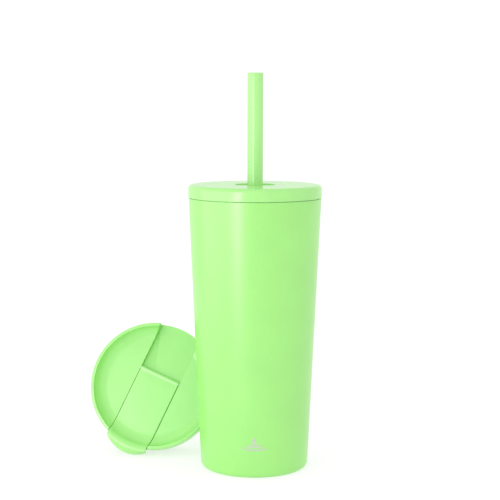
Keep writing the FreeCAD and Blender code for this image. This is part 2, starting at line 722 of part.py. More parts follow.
def make_flip_lid_top():
    """Dished top with its rim, the trough of the channel and the holes through it."""
    body = new_body("flip_lid_top")
    across = DISH_RADIUS - SWEEP_START
    rise = S["sweep_radius"] - root(S["sweep_radius"] * S["sweep_radius"] - across * across)
    turn_profile(body, "dish", [
        (0, S["dish_floor"] - S["dish_thick"]),
        (PLUG_INSIDE, S["dish_floor"] - S["dish_thick"]),
        (PLUG_INSIDE, 0),
        (LID_RADIUS, 0),
        (LID_RADIUS, S["flip_tall"]),
        (DISH_RADIUS, S["flip_tall"]),
        (DISH_RADIUS, S["dish_floor"] + rise),
        (SWEEP_START, S["dish_floor"], S["sweep_radius"], -1),
        (0, S["dish_floor"])])
    round_edges(body, "rim_outside", S["rim_round"], [(LID_RADIUS, S["flip_tall"])])
    round_edges(body, "rim_inside", S["rim_round_in"], [(DISH_RADIUS, S["flip_tall"])])

    half = CHANNEL_HALF + S["channel_wall"]
    end = root(PLUG_INSIDE * PLUG_INSIDE - half * half)
    trough = draw(body, "trough_sketch", "XY_Plane", [
        (end, -half), (end, half, PLUG_INSIDE, 1), (-end, half),
        (-end, -half, PLUG_INSIDE, 1)], TROUGH_UNDER)
    pad(body, "trough", trough, S["dish_floor"] - S["dish_thick"] - TROUGH_UNDER)

    outside = 2 * LID_RADIUS
    clear = S["tab_gap"]
    swept = S["tab_thick"] + clear
    sweep_end, sweep_top = under_sweep(swept)
    sweep_floor = TAB_TOP - swept
    notch = LIP_LEVEL + LIP_RADIUS - swept
    channel = draw(body, "channel_sketch", "XZ_Plane", [
        (-outside, CHANNEL_FLOOR),
        (SWEEP_START, CHANNEL_FLOOR),
        (SWEEP_START, sweep_floor),
        (sweep_end, sweep_top, S["sweep_radius"] + swept, 1),
        (LIP_CENTRE, notch, LIP_RADIUS - swept, -1),
        (outside, notch),
        (outside, outside),
        (-outside, outside)])
    cut_through(body, "channel", channel, S["channel_wide"])

    reach = S["channel_wide"] + 2 * S["pin_reach"]
    pin = draw_circle(body, "pin_hole_sketch", "XZ_Plane", -S["hinge_place"],
                      HINGE_HEIGHT, S["pin_radius"])
    cut_through(body, "pin_hole", pin, reach)
    for name in ("drink", "vent"):
        hole = draw_circle(body, name + "_hole_sketch", "XY_Plane", HOLE_PLACE[name], 0,
                           S[name + "_radius"])
        cut_through(body, name + "_hole", hole, 2 * S["plug_deep"])


def make_flip_lid_plug():
    """Threaded plug closed underneath, with a tube for the drink and one for the air."""
    body = new_body("flip_lid_plug")
    low = -S["plug_deep"]
    floor = low + S["plug_wall"]
    outline = [(0, low)] + plug_side(size(0)) + [
        (PLUG_INSIDE, 0), (PLUG_INSIDE, floor), (0, floor)]
    turn_profile(body, "flip_plug_wall", outline)
    for name in ("drink", "vent"):
        place, radius = HOLE_PLACE[name], S[name + "_radius"]
        tube = draw_circle(body, name + "_tube_sketch", "XY_Plane", place, 0,
                           radius + S["tube_wall"], low)
        pad(body, name + "_tube", tube, TROUGH_UNDER - low)
        hole = draw_circle(body, name + "_bore_sketch", "XY_Plane", place, 0, radius)
        cut_through(body, name + "_bore", hole, 4 * S["plug_deep"])
    plug_thread(body, size(0))


def mirrored(outline):
    """The outline on the other side of the axis, where the seam of the turned solid then is."""
    return [(-size(step[0]),) + step[1:3] + tuple(-turn for turn in step[3:])
            for step in outline]


def make_flip_tab():
    """Tab that closes the drink: flat, swept up like the dish, and hooked over the rim."""
    body = new_body("flip_tab")
    half = CHANNEL_HALF - S["tab_gap"]
    hook = LIP_CENTRE + S["hook_start"]
    under_end, under_top = under_sweep(S["tab_thick"])
    inner_lip = LIP_RADIUS - S["tab_thick"]
    turn_profile(body, "tab_plate", mirrored([
        (0, TAB_UNDER),
        (SWEEP_START, TAB_UNDER),
        (under_end, under_top, S["sweep_radius"] + S["tab_thick"], 1),
        (LIP_CENTRE, LIP_LEVEL + inner_lip, inner_lip, -1),
        (hook, LIP_LEVEL + inner_lip),
        (hook, S["hook_low"]),
        (TAB_REACH, S["hook_low"]),
        (TAB_REACH, LIP_LEVEL),
        (SWEEP_END, SWEEP_TOP, LIP_RADIUS, 1),
        (SWEEP_START, TAB_TOP, S["sweep_radius"], -1),
        (0, TAB_TOP)]))
    beyond = 2 * TAB_REACH
    strip = draw(body, "strip_sketch", "XY_Plane", [
        (beyond, half), (-S["hinge_place"], half), (-S["hinge_place"], -half),
        (beyond, -half), (beyond, -beyond), (-beyond, -beyond), (-beyond, beyond),
        (beyond, beyond)])
    cut_through(body, "strip", strip, 8 * S["flip_tall"])

    barrel = draw_circle(body, "barrel_sketch", "XZ_Plane", -S["hinge_place"],
                         HINGE_HEIGHT, S["barrel_radius"])
    pad(body, "barrel", barrel, 2 * half, True)
    bore = draw_circle(body, "barrel_bore_sketch", "XZ_Plane", -S["hinge_place"],
                       HINGE_HEIGHT, S["pin_radius"] + S["running_gap"])
    cut_through(body, "barrel_bore", bore, 2 * S["channel_wide"])

    radius = S["tab_end_radius"]
    edge = TAB_REACH - radius + root(radius * radius - CHANNEL_HALF * CHANNEL_HALF)
    end = draw(body, "tab_end_sketch", "XY_Plane", [
        (beyond, -S["channel_wide"]),
        (beyond, S["channel_wide"]),
        (edge, S["channel_wide"]),
        (edge, CHANNEL_HALF),
        (edge, -CHANNEL_HALF, radius, -1),
        (edge, -S["channel_wide"])])
    cut_through(body, "tab_end", end, 8 * S["flip_tall"])


def make_stopper(label, name, flange):
    """Silicone stopper under the tab: a flange and a tapered peg in its hole."""
    body = new_body(label)
    peg = S[name + "_radius"] - S["drink_gap"]
    tip = peg - S["stopper_taper"] * S[name + "_radius"] / S["drink_radius"]
    flange_low = CHANNEL_FLOOR + S["stopper_gap"]
    low = flange_low - S["stopper_deep"]
    place = HOLE_PLACE[name]
    sketch = draw(body, label + "_sketch", "XZ_Plane", [
        (place, low),
        (place + tip, low),
        (place + peg, flange_low),
        (place + peg + flange, flange_low),
        (place + peg + flange, TAB_UNDER),
        (place, TAB_UNDER)])
    axis = sketch.addGeometry(Part.LineSegment(
        FreeCAD.Vector(place.number, low.number, 0),
        FreeCAD.Vector(place.number, TAB_UNDER.number, 0)), True)
    pin_point(sketch, axis, 1, place, low)
    pin_point(sketch, axis, 2, place, TAB_UNDER)
    solid = body.newObject("PartDesign::Revolution", label + "_turned")
    solid.Profile = sketch
    solid.ReferenceAxis = (sketch, ["Axis0"])
    solid.Angle = 360
    doc.recompute()


def make_hinge_pin():
    """Steel pin across the channel that the tab turns on."""
    body = new_body("hinge_pin")
    length = S["channel_wide"] + 2 * S["pin_reach"]
    pin = draw_circle(body, "pin_sketch", "XZ_Plane", -S["hinge_place"], HINGE_HEIGHT,
                      S["pin_radius"])
    pad(body, "pin", pin, length, True)


def lean_flip_lid(bodies):
    """Turn and lean the flip lid's pieces, and set them down on the table."""
    lean, aside, roll = (math.radians(S[name].number)
                         for name in ("flip_lean", "flip_aside", "flip_roll"))
    out = FreeCAD.Vector(-math.sin(aside) * math.cos(lean),
                         -math.cos(aside) * math.cos(lean), math.sin(lean))
    level = FreeCAD.Vector(math.cos(aside), -math.sin(aside), 0)
    up = out.cross(level)
    tab = up * -math.cos(roll) - level * math.sin(roll)
    turned = FreeCAD.Rotation(tab, out.cross(tab), out, "ZXY")
    place = FreeCAD.Placement(FreeCAD.Vector(), turned)
    lowest = min(body.Shape.transformed(place.toMatrix(), True).optimalBoundingBox().ZMin
                 for body in bodies)
    apart = (shell_radius(LID_RADIUS) + LID_RADIUS + S["flip_apart"]).number
    bearing = math.radians(S["flip_bearing"].number)
    base = FreeCAD.Vector(-apart * math.cos(bearing), apart * math.sin(bearing), -lowest)
    for body in bodies:
        body.Placement = FreeCAD.Placement(base, turned)
    print("flip lid base", base, "out", out, "tab", tab)


make_outer_shell()
make_inner_liner()
make_vacuum_base()
make_sealing_bead()
make_base_cover()
make_copper_foil()
make_getter()
make_straw_lid_cap()
make_straw_lid_plug()
make_seal("straw_lid_seal", LID_SEAT)
make_straw_grommet()
make_straw()

straw_side = len(NODES)
make_flip_lid_top()
make_flip_lid_plug()
make_seal("flip_lid_seal", size(0))
make_flip_tab()
make_stopper("drink_stopper", "drink", S["stopper_flange"])
make_stopper("vent_stopper", "vent", S["stopper_flange"] / 2)
make_hinge_pin()
lean_flip_lid(NODES[straw_side:])
doc.recompute()

for item in doc.Objects:
    if "Invalid" in item.State or "Error" in item.State:
        raise ValueError("%s is %s" % (item.Name, item.State))
for node in NODES:
    if node.Shape.isNull() or not node.Shape.isValid():
        raise ValueError(node.Label + " has no valid shape")
    if len(node.Shape.Solids) != 1:
        raise ValueError("%s has %d solids" % (node.Label, len(node.Shape.Solids)))

os.makedirs("parts", exist_ok=True)
for node in NODES:
    node.Shape.exportStep("parts/%s.step" % node.Label)
    box = node.Shape.BoundBox
    print("%-16s %9.1f mm3  z %.2f to %.2f" % (node.Label, node.Shape.Volume, box.ZMin, box.ZMax))
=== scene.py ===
# %% [markdown]
# # An insulated tumbler with two lids
#
# This lesson dresses a CAD model of a coated steel tumbler: a tapered cup, a lid with a straw,
# and a spare lid with a flip tab that leans beside it.  The CAD model is loaded first, as a
# frame that says where everything is.  Nearly every part of such a cup is turned, moulded or
# drawn round an axis, so most new pieces here are surfaces of revolution worked out with numpy.

# %% load the frame
import json

import bmesh
import bpy
import numpy as np
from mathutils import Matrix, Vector


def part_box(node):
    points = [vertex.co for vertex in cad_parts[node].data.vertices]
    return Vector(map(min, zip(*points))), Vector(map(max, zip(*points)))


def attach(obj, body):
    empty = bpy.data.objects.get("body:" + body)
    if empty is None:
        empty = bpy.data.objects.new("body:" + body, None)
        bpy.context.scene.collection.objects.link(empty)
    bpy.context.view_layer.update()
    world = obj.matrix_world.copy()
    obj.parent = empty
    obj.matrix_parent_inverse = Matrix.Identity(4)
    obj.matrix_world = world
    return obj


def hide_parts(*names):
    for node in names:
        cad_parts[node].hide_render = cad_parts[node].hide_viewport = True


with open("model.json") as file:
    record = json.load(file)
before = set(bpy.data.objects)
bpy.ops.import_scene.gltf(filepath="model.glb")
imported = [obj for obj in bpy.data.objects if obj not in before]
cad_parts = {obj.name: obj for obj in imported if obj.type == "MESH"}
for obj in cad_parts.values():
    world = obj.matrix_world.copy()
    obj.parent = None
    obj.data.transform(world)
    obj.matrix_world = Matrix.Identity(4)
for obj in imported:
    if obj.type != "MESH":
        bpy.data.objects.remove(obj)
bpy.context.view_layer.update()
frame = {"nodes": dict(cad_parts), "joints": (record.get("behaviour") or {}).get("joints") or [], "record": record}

RECORD = frame["record"]

# %% [markdown]
# ## The camera
#
# The camera comes first, because everything is judged through it.  It stands a little under a
# metre in front of the cup and looks down by six and a half degrees.  That far away the sides
# of the cup stay nearly parallel, as in a catalogue picture.  The lens is worked out from the
# focal length measured in frame widths, and the film is left at Blender's 36 mm.

# %% camera
FILM = 36.0
FOCAL_IN_FRAMES = 2.6762
CAMERA_PLACE = Vector((0.0, -0.9385, 0.2624))
CAMERA_DOWN = 0.114
CAMERA_ASIDE = -0.004
CAMERA_ROLL = -0.003

camera_data = bpy.data.cameras.new("camera")
camera_data.sensor_width = FILM
camera_data.lens = FILM * FOCAL_IN_FRAMES
camera_data.clip_start = 0.01
camera = bpy.data.objects.new("camera", camera_data)
bpy.context.scene.collection.objects.link(camera)
camera.location = CAMERA_PLACE
camera.rotation_euler = (np.pi / 2 - CAMERA_DOWN, CAMERA_ROLL, -CAMERA_ASIDE)
bpy.context.scene.camera = camera
print("lens %.1f mm" % camera_data.lens)

# %% [markdown]
# ## Reading sizes off the frame
#
# A new piece has to sit exactly where its CAD node sits.  Most sizes come from the corners of
# a node's box.  The flip lid leans, so it gets three directions of its own: out of the lid,
# along its tab, and across.  They come from its thread mount and its hinge joint, and a CAD
# node of that lid is measured by carrying its vertices back into those directions.

# %% sizes from the frame
MM = 0.001
SHELL_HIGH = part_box("outer_shell")[1]
LINER_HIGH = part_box("inner_liner")[1]
CAP_LOW, CAP_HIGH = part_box("straw_lid_cap")
STRAW_LOW, STRAW_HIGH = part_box("straw")


def vertices_of(node):
    """All vertices of a CAD node as rows of x, y, z in metres."""
    mesh = frame["nodes"][node].data
    rows = np.empty(len(mesh.vertices) * 3, np.float32)
    mesh.vertices.foreach_get("co", rows)
    return rows.reshape(-1, 3).astype(float)


def joint_named(name):
    """The joint of that name in the frame."""
    return [joint for joint in frame["joints"] if joint["name"] == name][0]


THREAD_MOUNT = [m for m in RECORD["mounts"] if m["name"] == "spare_lid_thread"][0]
FLIP_BASE = np.array(THREAD_MOUNT["pos_m"])
FLIP_OUT = -np.array(THREAD_MOUNT["axis"])
FLIP_ACROSS = -np.array(joint_named("flip_tab_hinge")["axis"])
FLIP_TAB = np.cross(FLIP_ACROSS, FLIP_OUT)


def lean(points):
    """Carry points (x along the tab, y across, z out of the lid) to where the flip lid is."""
    turned = points[..., :1] * FLIP_TAB + points[..., 1:2] * FLIP_ACROSS
    return FLIP_BASE + turned + points[..., 2:] * FLIP_OUT


def unlean(points):
    """The reverse of lean: points of the frame as seen from the flip lid."""
    moved = points - FLIP_BASE
    return np.stack([moved @ FLIP_TAB, moved @ FLIP_ACROSS, moved @ FLIP_OUT], axis=-1)


print("lid radius %.1f mm" % (CAP_HIGH.x / MM))

# %% [markdown]
# ## Surfaces from arrays
#
# A surface here is a grid of points: rows run one way over it, columns the other.  One helper
# turns such a grid into a mesh.  Where a row is a single point on the axis, the quads beside it
# shrink to triangles, so the helper merges those points and the pole is closed.

# %% grid to mesh
def grid_quads(grid, close_rows=False):
    """Four corner numbers of each quad between neighbours; the columns wrap round."""
    rows, columns = grid.shape[:2]
    index = np.arange(rows * columns).reshape(rows, columns)
    if close_rows:
        index = np.vstack([index, index[:1]])
    index = np.hstack([index, index[:, :1]])
    quads = np.stack([index[:-1, :-1], index[:-1, 1:], index[1:, 1:], index[1:, :-1]], axis=-1)
    return quads.reshape(-1, 4)


def mesh_of(name, points, faces):
    """A mesh of an array of points and a list of faces."""
    mesh = bpy.data.meshes.new(name)
    mesh.from_pydata(points.reshape(-1, 3).tolist(), [], faces)
    return mesh


def mesh_from_grid(name, grid, close_rows=False):
    """Join neighbours of a (rows, columns, 3) grid into quads, wrapping where asked."""
    return mesh_of(name, grid, grid_quads(grid, close_rows).tolist())


def smooth_below(mesh, degrees):
    """Shade smoothly everywhere but at edges sharper than an angle."""
    mesh.polygons.foreach_set("use_smooth", np.ones(len(mesh.polygons), bool))
    mesh.set_sharp_from_angle(angle=np.radians(degrees))


def place_piece(name, mesh, body, nodes, material):
    """Put a finished mesh in the scene: its finish, its body, and the nodes it stands for."""
    mesh.materials.clear()
    mesh.materials.append(material)
    piece = bpy.data.objects.new(name, mesh)
    bpy.context.scene.collection.objects.link(piece)
    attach(piece, body)
    if nodes:
        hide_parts(*nodes)
    print("%-16s %6d faces" % (name, len(mesh.polygons)))
    return piece


def finish_piece(name, mesh, body, nodes, material, sharp=35.0):
    """Merge poles, point faces outwards, smooth up to an angle, and put the piece in place."""
    work = bmesh.new()
    work.from_mesh(mesh)
    bmesh.ops.remove_doubles(work, verts=work.verts, dist=1e-7)
    bmesh.ops.dissolve_degenerate(work, dist=1e-8, edges=work.edges)
    bmesh.ops.recalc_face_normals(work, faces=work.faces)
    work.to_mesh(mesh)
    work.free()
    smooth_below(mesh, sharp)
    return place_piece(name, mesh, body, nodes, material)


# %% [markdown]
# ## Rounded outlines
#
# Drawn steel and moulded plastic have no sharp corners, and it is the small roundings that
# catch the light.  An outline is therefore a list of corners, each with the radius of its
# rounding.  The helper swaps each corner for an arc that touches both sides.

# %% rounded outline
def rounded(corners, steps=7, closed=True):
    """Replace each corner (x, y, radius) by an arc of that radius that touches both sides.

    The arc starts at radius * tan(turn / 2) before the corner and ends as far after it.
    """
    points = np.array([corner[:2] for corner in corners], float)
    count = len(points)
    outline = []
    for at, (x, y, radius) in enumerate(corners):
        corner = points[at]
        if radius <= 0 or (not closed and at in (0, count - 1)):
            outline.append(corner[None])
            continue
        before = points[at - 1] - corner
        after = points[(at + 1) % count] - corner
        room = 0.49 * min(np.linalg.norm(before), np.linalg.norm(after))
        before /= np.linalg.norm(before)
        after /= np.linalg.norm(after)
        half = np.arccos(np.clip(before @ after, -1, 1)) / 2
        reach = min(radius / np.tan(half), room)
        radius = reach * np.tan(half)
        middle = (before + after) / np.linalg.norm(before + after)
        centre = corner + middle * radius / np.sin(half)
        spread = np.linspace(-1, 1, steps) * (np.pi / 2 - half)
        side = np.array([-middle[1], middle[0]])
        side = side if side @ before < 0 else -side
        arc = -middle * np.cos(spread)[:, None] + side * np.sin(spread)[:, None]
        outline.append(centre + radius * arc)
    return np.vstack(outline)


def finer(outline, longest, closed=True):
    """Divide the straight runs of an outline so that none is longer than that."""
    ends = np.vstack([outline[1:], outline[:1]]) if closed else outline[1:]
    starts = outline if closed else outline[:-1]
    pieces = []
    for start, end in zip(starts, ends):
        parts = max(1, int(np.ceil(np.linalg.norm(end - start) / longest)))
        share = np.arange(parts)[:, None] / parts
        pieces.append(start + (end - start) * share)
    if not closed:
        pieces.append(outline[-1:])
    return np.vstack(pieces)


# %% [markdown]
# ## Turning on a lathe
#
# The main tool of this lesson: an outline of radius and height is carried round an axis.  The
# surface is a function of two parameters, the place along the outline and the angle round the
# axis.  The axis is the cup's own, or the flip lid's leaning one.

# %% lathe
ROUND = 192


def turned_grid(outline, segments=ROUND):
    """Point (i, j) = (radius_i cos angle_j, radius_i sin angle_j, height_i)."""
    angle = np.linspace(0, 2 * np.pi, segments, endpoint=False)
    radius, height = outline[:, :1], outline[:, 1:]
    level = np.broadcast_to(height, (len(outline), segments))
    return np.stack([radius * np.cos(angle), radius * np.sin(angle), level], axis=-1)


def turned_mesh(name, outline, segments=ROUND, closed=True, place=None):
    """Mesh of an outline carried round the Z axis, or round the flip lid's axis."""
    grid = turned_grid(outline, segments)
    if place is not None:
        grid = place(grid)
    return mesh_from_grid(name, grid, close_rows=closed)


# %% [markdown]
# ## Shader sums in plain Python
#
# Every finish is built from nodes.  To keep them readable, one small class wraps a socket, so
# that `0.2 + speck * 0.1` adds the Math nodes by itself.  Any other node comes from its
# `node` method: the node's type, its settings, and then what goes into its sockets.

# %% socket arithmetic
class Wire:
    """A socket of a node tree that Python operators can work on."""

    def __init__(self, tree, socket):
        self.tree, self.socket = tree, socket

    def node(self, kind, settings=(), inputs=(), output=0):
        """Add a node, set it up, connect its inputs and return one of its outputs."""
        made = self.tree.nodes.new(kind)
        for name, value in dict(settings).items():
            setattr(made, name, value)
        for name, value in dict(inputs).items():
            if isinstance(value, Wire):
                self.tree.links.new(value.socket, made.inputs[name])
            else:
                made.inputs[name].default_value = value
        return Wire(self.tree, made.outputs[output])

    def math(self, operation, *values):
        inputs = {at: value for at, value in enumerate((self,) + values)}
        return self.node("ShaderNodeMath", {"operation": operation}, inputs)

    def __add__(self, other):
        return self.math("ADD", other)

    __radd__ = __add__

    def __mul__(self, other):
        return self.math("MULTIPLY", other)

    __rmul__ = __mul__

    def step(self, low, high):
        """0 below low, 1 above high, and smooth between."""
        settings = {"interpolation_type": "SMOOTHSTEP"}
        inputs = {"Value": self, "From Min": low, "From Max": high}
        return self.node("ShaderNodeMapRange", settings, inputs)

    def noise(self, size, detail=2.0, stretch=(1, 1, 1)):
        """Noise whose lumps are about that size in metres; stretch makes them longer."""
        scale = tuple(1.0 / part for part in stretch)
        place = self.node("ShaderNodeMapping", {}, {"Vector": self, "Scale": scale})
        inputs = {"Vector": place, "Scale": 1.0 / size, "Detail": detail, "Roughness": 0.55}
        return place.node("ShaderNodeTexNoise", {}, inputs)

    def mix(self, first, second):
        """A colour between two, by this factor."""
        inputs = {0: self, 6: first, 7: second}
        return self.node("ShaderNodeMix", {"data_type": "RGBA"}, inputs, 2)

    def bump(self, depth):
        """A normal for relief of that depth in metres."""
        inputs = {"Height": self, "Distance": depth, "Strength": 1.0}
        return self.node("ShaderNodeBump", {}, inputs)


def new_material(name, **constants):
    """A material with a Principled shader; returns it, the shader and the Object place."""
    material = bpy.data.materials.new(name)
    material.use_nodes = True
    tree = material.node_tree
    shader = tree.nodes["Principled BSDF"]
    for socket, value in constants.items():
        shader.inputs[socket.replace("_", " ")].default_value = value
    start = tree.nodes.new("ShaderNodeTexCoord")
    return material, shader, Wire(tree, start.outputs["Object"])


def feed(shader, **inputs):
    """Link wires to the shader's sockets."""
    for socket, wire in inputs.items():
        wire.tree.links.new(wire.socket, shader.inputs[socket.replace("_", " ")])


def shade(colour, share):
    """A colour made lighter (share over 1) or darker."""
    return tuple(min(1.0, part * share) for part in colour[:3]) + (1.0,)


# %% [markdown]
# ## The finishes
#
# **Powder coat** is dry paint baked onto the steel.  Close up it has a fine orange peel and a
# satin sheen, and its colour is very slightly mottled.

# %% powder coat
GREEN = (0.290, 0.725, 0.145, 1.0)


def powder_coat():
    material, shader, place = new_material("powder_coat", IOR=1.90)
    mottle = place.noise(0.030, 3.0)
    speck = place.noise(0.0009, 2.0)
    peel = place.noise(0.0016, 2.0)
    tone = (mottle * 0.6 + speck * 0.4).step(0.3, 0.7)
    feed(shader, Base_Color=tone.mix(shade(GREEN, 0.965), shade(GREEN, 1.03)),
         Roughness=0.26 + speck * 0.08, Normal=(peel + speck * 0.4).bump(0.00004))
    return material


POWDER_COAT = powder_coat()
print("made", POWDER_COAT.name)

# %% [markdown]
# **Moulded plastic** is smoother.  It has a very fine spark-eroded grain from the mould, and
# flow clouds too faint to notice alone.

# %% moulded plastic
LID_GREEN = (0.335, 0.745, 0.200, 1.0)


def moulded(name, colour, roughness, grain):
    material, shader, place = new_material(name, IOR=1.75)
    flow = place.noise(0.018, 2.0)
    fine = place.noise(0.0005, 1.0)
    feed(shader, Base_Color=flow.step(0.3, 0.7).mix(shade(colour, 0.975), shade(colour, 1.02)),
         Roughness=roughness + fine * 0.06, Normal=fine.bump(grain))
    return material


LID_PLASTIC = moulded("lid_plastic", LID_GREEN, 0.20, 0.000010)
TAB_PLASTIC = moulded("tab_plastic", LID_GREEN, 0.22, 0.000010)
PLUG_PLASTIC = moulded("plug_plastic", shade(LID_GREEN, 0.96), 0.38, 0.000016)
print("made moulded plastics")

# %% [markdown]
# **The straw** is pulled through a die, not moulded, so its marks run along it: long faint
# lines, and a higher gloss than the lid's.

# %% straw plastic
STRAW_GREEN = (0.360, 0.750, 0.225, 1.0)


def drawn_plastic():
    material, shader, place = new_material("straw_plastic", IOR=1.75)
    lines = place.noise(0.0007, 2.0, (1, 1, 90))
    tone = place.noise(0.012, 1.0, (1, 1, 6))
    colour = tone.step(0.3, 0.7).mix(shade(STRAW_GREEN, 0.97), shade(STRAW_GREEN, 1.03))
    feed(shader, Base_Color=colour, Roughness=0.16 + lines * 0.10,
         Normal=lines.bump(0.000014))
    return material


STRAW_PLASTIC = drawn_plastic()
print("made", STRAW_PLASTIC.name)

# %% [markdown]
# **Brushed steel** is bare inside the cup and under its foot.  It is polished while it spins,
# so its scratches run round the axis.  Noise that is read by radius and height alone gives
# rings, and a little ordinary noise smudges their gloss.

# %% brushed steel and copper
def spun_metal(name, colour, roughness, depth):
    material, shader, place = new_material(name, Metallic=1.0)
    x, y, z = (place.node("ShaderNodeSeparateXYZ", {}, {0: place}, at) for at in range(3))
    radius = (x * x + y * y).math("SQRT")
    rings = radius.node("ShaderNodeCombineXYZ", {}, {0: radius, 2: z})
    scratch = rings.noise(0.00022, 3.0)
    smudge = place.noise(0.014, 3.0)
    colours = scratch.step(0.35, 0.65).mix(shade(colour, 0.90), shade(colour, 1.05))
    feed(shader, Base_Color=colours, Roughness=roughness + scratch * 0.12 + smudge * 0.08,
         Normal=scratch.bump(depth))
    return material


STEEL = spun_metal("brushed_steel", (0.62, 0.61, 0.59, 1.0), 0.20, 0.000008)
COPPER = spun_metal("copper_foil", (0.86, 0.40, 0.25, 1.0), 0.25, 0.000030)
print("made metals")

# %% [markdown]
# **Silicone** is soft and slightly milky.  It picks up dust, so it is dull, and light goes a
# little way into it.

# %% silicone, glass and getter
def milky_silicone():
    material, shader, place = new_material(
        "silicone", IOR=1.42, Subsurface_Weight=0.25, Subsurface_Scale=0.001)
    dust = place.noise(0.0012, 3.0)
    cloud = place.noise(0.010, 2.0)
    colour = cloud.step(0.3, 0.7).mix((0.60, 0.80, 0.52, 1.0), (0.68, 0.86, 0.60, 1.0))
    feed(shader, Base_Color=colour, Roughness=0.50 + dust * 0.15, Normal=dust.bump(0.00001))
    return material


def solder_glass():
    material, shader, place = new_material("solder_glass", IOR=1.55, Coat_Weight=0.5)
    frit = place.noise(0.0008, 3.0)
    colour = frit.step(0.35, 0.65).mix((0.05, 0.07, 0.07, 1.0), (0.16, 0.20, 0.19, 1.0))
    feed(shader, Base_Color=colour, Roughness=0.12 + frit * 0.10)
    return material


def pressed_powder():
    material, shader, place = new_material("getter_powder", Metallic=0.4)
    grain = place.noise(0.0004, 3.0)
    colour = grain.step(0.3, 0.7).mix((0.05, 0.05, 0.055, 1.0), (0.14, 0.14, 0.15, 1.0))
    feed(shader, Base_Color=colour, Roughness=0.60 + grain * 0.2, Normal=grain.bump(0.00005))
    return material


SILICONE, SOLDER_GLASS, GETTER = milky_silicone(), solder_glass(), pressed_powder()
print("made silicone, glass and getter")

# %% [markdown]
# ## The coated shell
#
# The outside of the cup is one sheet of steel, drawn to a cone and rolled in at the foot.  Its
# outline is a thin closed strip: up the outside, down the inside, and round the foot ring.
# The coat is sprayed on after the lip is welded, so it runs up over the edge of the lip.

# %% shell
SHEET = 0.6 * MM
FOOT_CORNER = 5.4 * MM
FOOT_HOLE = 30.0 * MM
FOOT_EDGE = 2.6 * MM
RIM = SHELL_HIGH.x
SHELL_TOP = SHELL_HIGH.z
FOOT = 38.0 * MM
LIP_TOP = LINER_HIGH.z
LIP_BACK = 0.24 * MM
COAT_THICK = 0.07 * MM
COAT_OVER = 1.0 * MM


def shell_outline():
    wall = SHEET
    over, seat = LIP_TOP + COAT_THICK, LIP_TOP + 0.01 * MM
    corners = [
        (FOOT_HOLE, 0, 0.3 * MM), (FOOT, 0, FOOT_CORNER),
        (RIM, SHELL_TOP, 0), (RIM, over, 0.22 * MM), (RIM - COAT_OVER, over, 0),
        (RIM - COAT_OVER, seat, 0), (RIM - LIP_BACK, seat, 0), (RIM - LIP_BACK, SHELL_TOP, 0),
        (RIM - wall, SHELL_TOP, 0),
        (FOOT - wall, wall, FOOT_CORNER - wall), (FOOT_HOLE + wall, wall, 0.2 * MM),
        (FOOT_HOLE + wall, FOOT_EDGE, 0.1 * MM), (FOOT_HOLE, FOOT_EDGE, 0.1 * MM)]
    return finer(rounded(corners, 14), 6 * MM)


finish_piece("coated_shell", turned_mesh("coated_shell", shell_outline(), 256),
             "cup", ["outer_shell"], POWDER_COAT)

# %% [markdown]
# ## The steel liner and its thread
#
# The liner is turned too, but its neck carries a thread.  A thread is a ridge whose height
# depends on two things, how high up a point is and how far round.  So the neck is the same
# lathe grid with its radius reduced where the point lies on the ridge.

# %% liner
FLOOR = 9.0 * MM
FLOOR_RADIUS = 33.2 * MM
WAIST = (40.9 * MM, 169.5 * MM)
NECK = (43.0 * MM, 173.5 * MM)
PITCH = 4.0 * MM
THREAD_START = 178.3 * MM
THREAD_TURNS = 1.75
LIP_EDGE = RIM - LIP_BACK - 0.02 * MM


def ridge(angle, height, start, turns):
    """Share of the full ridge at an angle and height: 1 on the crest, 0 off the thread.

    The nearest turn's middle is at start + pitch * (angle / full circle + n) for whole n.
    The ridge is a trapezoid 1.9 mm wide at its root and 0.9 mm at its crest.
    """
    turn = angle / (2 * np.pi)
    around = (height - start) / PITCH - turn
    nearest = np.clip(np.round(around), 0, np.floor(turns - turn))
    offset = np.abs(around - nearest) * PITCH
    return np.clip((0.95 * MM - offset) / (0.5 * MM), 0, 1)


def threaded(grid, inside, start, turns, reach):
    """Move the points of a lathe grid that lie on a wall in or out by the thread's ridge."""
    angle = np.arctan2(grid[..., 1], grid[..., 0]) % (2 * np.pi)
    radius = np.hypot(grid[..., 0], grid[..., 1])
    share = ridge(angle, grid[..., 2], start, turns)
    on_wall = np.abs(radius - inside) < 1e-6
    scale = np.where(on_wall, (radius + share * reach) / np.maximum(radius, 1e-9), 1.0)
    return np.stack([grid[..., 0] * scale, grid[..., 1] * scale, grid[..., 2]], axis=-1)


def liner_grid():
    corners = [
        (0, FLOOR - SHEET, 0), (FLOOR_RADIUS + SHEET, FLOOR - SHEET, 6.6 * MM),
        (WAIST[0] + SHEET, WAIST[1], 2.0 * MM), (NECK[0] + SHEET, NECK[1], 1.4 * MM),
        (NECK[0] + SHEET, SHELL_TOP, 0), (LIP_EDGE, SHELL_TOP, 0),
        (LIP_EDGE, LIP_TOP, 0.1 * MM), (NECK[0], LIP_TOP, 0.28 * MM),
        (NECK[0], NECK[1], 1.4 * MM), (WAIST[0], WAIST[1], 2.0 * MM),
        (FLOOR_RADIUS, FLOOR, 6.0 * MM), (0, FLOOR, 0)]
    outline = rounded(corners, 9, closed=False)
    neck = (np.abs(outline[:, 0] - NECK[0]) < 1e-9).nonzero()[0]
    top, bottom = neck[0], neck[-1]
    strip = finer(outline[[top, bottom]], 0.25 * MM, closed=False)
    outline = np.vstack([outline[:top], strip, outline[bottom + 1:]])
    grid = turned_grid(outline, 256)
    return threaded(grid, NECK[0], THREAD_START, THREAD_TURNS, -1.1 * MM)


finish_piece("steel_liner", mesh_from_grid("steel_liner", liner_grid()),
             "cup", ["inner_liner"], STEEL)

